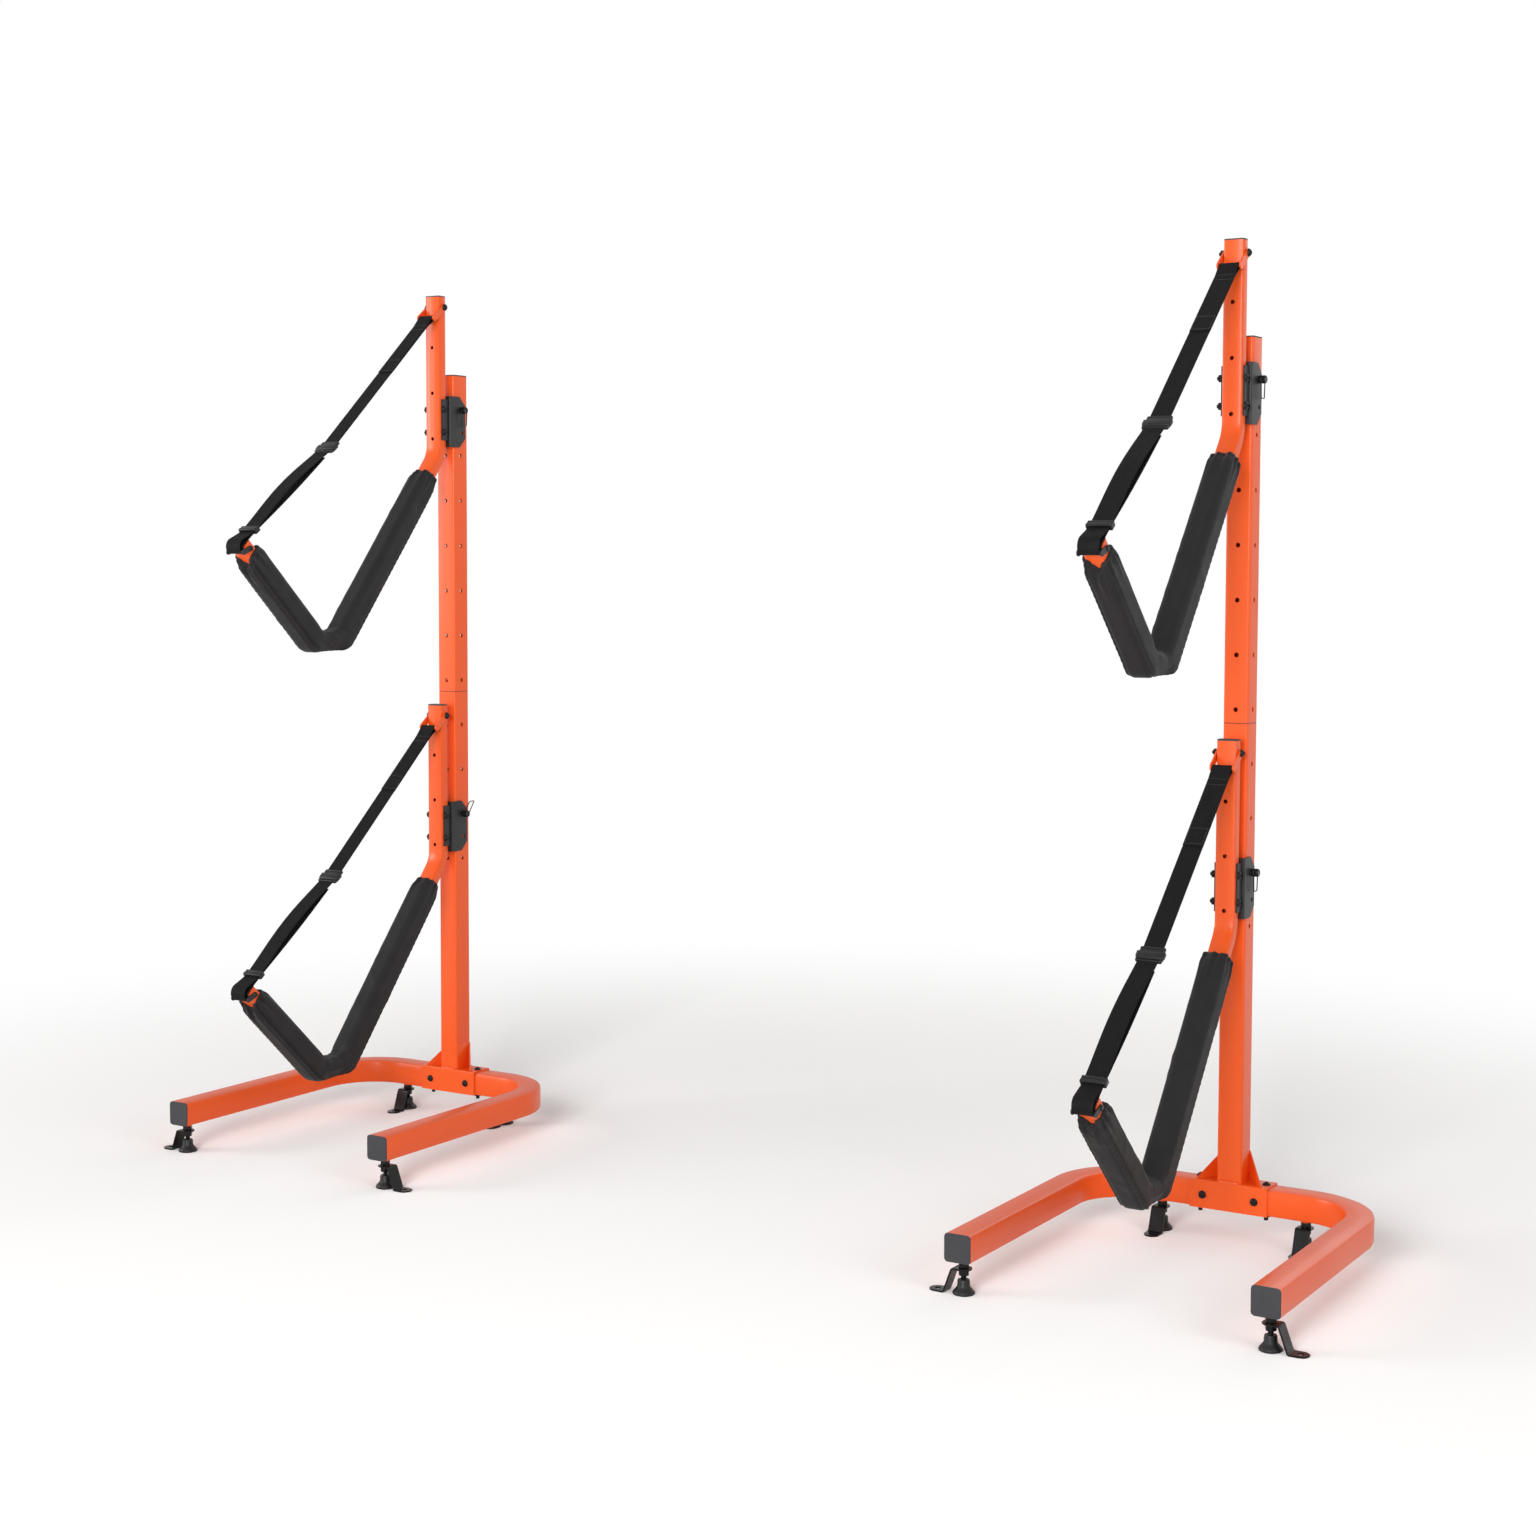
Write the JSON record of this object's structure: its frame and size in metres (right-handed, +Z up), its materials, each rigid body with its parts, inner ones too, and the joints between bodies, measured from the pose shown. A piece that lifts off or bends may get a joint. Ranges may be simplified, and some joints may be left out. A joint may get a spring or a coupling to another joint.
{
  "type": "kayak stand",
  "caption": "Pair of free-standing square-tube stands with padded J-shaped cradle arms and buckled straps that carry kayaks one above another, on levelling feet.",
  "frame": {"origin": "on the floor, midway between the two stands and midway front to back", "axes": "+X along the boats from the left stand to the right stand, +Y towards the posts, away from the cradles, +Z up"},
  "size_m": [2.529, 0.724, 1.838],
  "materials": {
    "orange_paint": "orange powder coat, satin gloss",
    "black_paint": "black powder coat, satin",
    "black_steel": "black oxide steel",
    "bail_wire": "black coated spring wire",
    "cap_plastic": "black moulded plastic",
    "buckle_plastic": "black moulded acetal",
    "foot_black": "black rubber foot, black steel stud, nut and plate",
    "sleeve_fabric": "black woven nylon over foam",
    "webbing": "black woven webbing"
  },
  "bodies": {
    "left_stand": {"left_base_tube": "orange_paint", "left_leg_caps": "cap_plastic", "left_lower_post": "orange_paint", "left_upper_post": "orange_paint", "left_post_spigot": "orange_paint", "left_top_caps": "cap_plastic", "left_base_bolts": "black_steel", "left_base_nuts": "black_steel", "left_lower_arm_tube": "orange_paint", "left_lower_post_bracket": "black_paint", "left_lower_arm_bolts": "black_steel", "left_lower_strap_shackle": "orange_paint", "left_lower_strap_webbing": "webbing", "left_lower_strap_buckles": "buckle_plastic", "left_lower_pad_sleeve": "sleeve_fabric", "left_upper_arm_tube": "orange_paint", "left_upper_post_bracket": "black_paint", "left_upper_arm_bolts": "black_steel", "left_upper_strap_shackle": "orange_paint", "left_upper_strap_webbing": "webbing", "left_upper_strap_buckles": "buckle_plastic", "left_upper_pad_sleeve": "sleeve_fabric"},
    "right_stand": {"right_base_tube": "orange_paint", "right_leg_caps": "cap_plastic", "right_lower_post": "orange_paint", "right_upper_post": "orange_paint", "right_post_spigot": "orange_paint", "right_top_caps": "cap_plastic", "right_base_bolts": "black_steel", "right_base_nuts": "black_steel", "right_lower_arm_tube": "orange_paint", "right_lower_post_bracket": "black_paint", "right_lower_arm_bolts": "black_steel", "right_lower_strap_shackle": "orange_paint", "right_lower_strap_webbing": "webbing", "right_lower_strap_buckles": "buckle_plastic", "right_lower_pad_sleeve": "sleeve_fabric", "right_upper_arm_tube": "orange_paint", "right_upper_post_bracket": "black_paint", "right_upper_arm_bolts": "black_steel", "right_upper_strap_shackle": "orange_paint", "right_upper_strap_webbing": "webbing", "right_upper_strap_buckles": "buckle_plastic", "right_upper_pad_sleeve": "sleeve_fabric"},
    "left_foot_front_left_body": {"left_foot_front_left": "foot_black"},
    "left_foot_front_right_body": {"left_foot_front_right": "foot_black"},
    "left_foot_rear_left_body": {"left_foot_rear_left": "foot_black"},
    "left_foot_rear_right_body": {"left_foot_rear_right": "foot_black"},
    "left_lower_pin_body": {"left_lower_locking_pin": "black_steel"},
    "left_lower_bail_body": {"left_lower_pin_bail": "bail_wire"},
    "left_upper_pin_body": {"left_upper_locking_pin": "black_steel"},
    "left_upper_bail_body": {"left_upper_pin_bail": "bail_wire"},
    "right_foot_front_left_body": {"right_foot_front_left": "foot_black"},
    "right_foot_front_right_body": {"right_foot_front_right": "foot_black"},
    "right_foot_rear_left_body": {"right_foot_rear_left": "foot_black"},
    "right_foot_rear_right_body": {"right_foot_rear_right": "foot_black"},
    "right_lower_pin_body": {"right_lower_locking_pin": "black_steel"},
    "right_lower_bail_body": {"right_lower_pin_bail": "bail_wire"},
    "right_upper_pin_body": {"right_upper_locking_pin": "black_steel"},
    "right_upper_bail_body": {"right_upper_pin_bail": "bail_wire"}
  },
  "joints": [
    {"name": "left_stand_spacing", "type": "slide", "parent": "right_stand", "child": "left_stand", "axis": [1, 0, 0], "range_m": [-0.4, 0.6]},
    {"name": "left_foot_front_left_level", "type": "slide", "parent": "left_stand", "child": "left_foot_front_left_body", "axis": [0, 0, -1], "range_m": [0, 0.02]},
    {"name": "left_foot_front_right_level", "type": "slide", "parent": "left_stand", "child": "left_foot_front_right_body", "axis": [0, 0, -1], "range_m": [0, 0.02]},
    {"name": "left_foot_rear_left_level", "type": "slide", "parent": "left_stand", "child": "left_foot_rear_left_body", "axis": [0, 0, -1], "range_m": [0, 0.02]},
    {"name": "left_foot_rear_right_level", "type": "slide", "parent": "left_stand", "child": "left_foot_rear_right_body", "axis": [0, 0, -1], "range_m": [0, 0.02]},
    {"name": "left_lower_pin_pull", "type": "slide", "parent": "left_stand", "child": "left_lower_pin_body", "axis": [1, 0, 0], "range_m": [0, 0.085]},
    {"name": "left_lower_bail_swing", "type": "hinge", "parent": "left_lower_pin_body", "child": "left_lower_bail_body", "pos_m": [-0.8908, 0.32524, 0.69], "axis": [0, 1, 0], "range_deg": [0, 150]},
    {"name": "left_upper_pin_pull", "type": "slide", "parent": "left_stand", "child": "left_upper_pin_body", "axis": [1, 0, 0], "range_m": [0, 0.085]},
    {"name": "left_upper_bail_swing", "type": "hinge", "parent": "left_upper_pin_body", "child": "left_upper_bail_body", "pos_m": [-0.8908, 0.32524, 1.59], "axis": [0, 1, 0], "range_deg": [-150, 0]},
    {"name": "right_foot_front_left_level", "type": "slide", "parent": "right_stand", "child": "right_foot_front_left_body", "axis": [0, 0, -1], "range_m": [0, 0.02]},
    {"name": "right_foot_front_right_level", "type": "slide", "parent": "right_stand", "child": "right_foot_front_right_body", "axis": [0, 0, -1], "range_m": [0, 0.02]},
    {"name": "right_foot_rear_left_level", "type": "slide", "parent": "right_stand", "child": "right_foot_rear_left_body", "axis": [0, 0, -1], "range_m": [0, 0.02]},
    {"name": "right_foot_rear_right_level", "type": "slide", "parent": "right_stand", "child": "right_foot_rear_right_body", "axis": [0, 0, -1], "range_m": [0, 0.02]},
    {"name": "right_lower_pin_pull", "type": "slide", "parent": "right_stand", "child": "right_lower_pin_body", "axis": [1, 0, 0], "range_m": [0, 0.085]},
    {"name": "right_lower_bail_swing", "type": "hinge", "parent": "right_lower_pin_body", "child": "right_lower_bail_body", "pos_m": [0.9592, 0.32524, 0.69], "axis": [0, 1, 0], "range_deg": [-150, 0]},
    {"name": "right_upper_pin_pull", "type": "slide", "parent": "right_stand", "child": "right_upper_pin_body", "axis": [1, 0, 0], "range_m": [0, 0.085]},
    {"name": "right_upper_bail_swing", "type": "hinge", "parent": "right_upper_pin_body", "child": "right_upper_bail_body", "pos_m": [0.9592, 0.32524, 1.59], "axis": [0, 1, 0], "range_deg": [-150, 0]}
  ]
}
